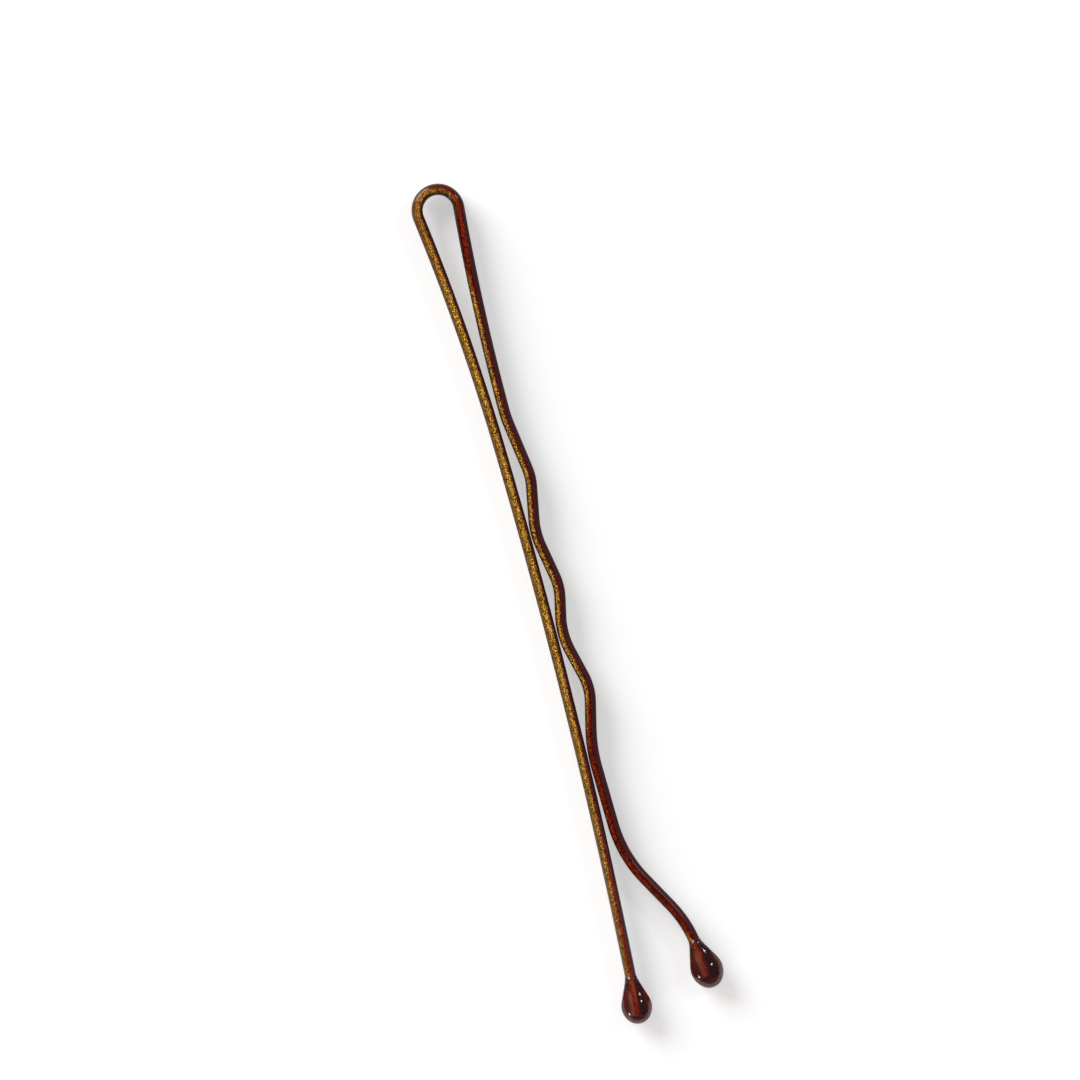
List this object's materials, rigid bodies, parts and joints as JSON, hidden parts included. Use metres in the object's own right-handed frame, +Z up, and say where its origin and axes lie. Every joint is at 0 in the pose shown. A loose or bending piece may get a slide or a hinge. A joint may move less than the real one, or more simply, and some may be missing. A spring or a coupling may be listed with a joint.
{
  "type": "bobby pin",
  "caption": "Flat spring-wire hair grip: a round bow, a plain leg and a waved leg with a flared tip, each leg ending in a resin bead; the legs spring apart and grip hair.",
  "frame": {"origin": "centre of the bow's loop, on the mid-plane of the wire", "axes": "+Y along the pin from its tips to its bow, +X from the straight leg to the wavy leg, +Z up across the wire's width, so the pin lies flat"},
  "size_m": [0.0064, 0.0508, 0.002],
  "materials": {
    "enamelled_wire": "dark brown enamel with dense fine gold flakes under clear gloss",
    "tip_resin": "clear glossy dark red-brown resin"
  },
  "bodies": {
    "bow": {"bow": "enamelled_wire"},
    "straight_side": {"straight_leg": "enamelled_wire", "straight_tip_bead": "tip_resin"},
    "wavy_side": {"wavy_shank": "enamelled_wire", "first_wave": "enamelled_wire", "second_wave": "enamelled_wire", "flared_end": "enamelled_wire", "wavy_tip_bead": "tip_resin"}
  },
  "joints": [
    {"name": "straight_flex", "type": "hinge", "parent": "bow", "child": "straight_side", "pos_m": [-0.00098, -0.00722, 0], "axis": [0, 0, -1], "range_deg": [0, 7], "stiffness_Nm_per_rad": 0.26},
    {"name": "wavy_flex", "type": "hinge", "parent": "bow", "child": "wavy_side", "pos_m": [0.00098, -0.00722, 0], "axis": [0, 0, 1], "range_deg": [0, 7], "stiffness_Nm_per_rad": 0.26}
  ],
  "couplings": [
    {"joint": "wavy_flex", "follows": "straight_flex", "ratio": 1}
  ]
}
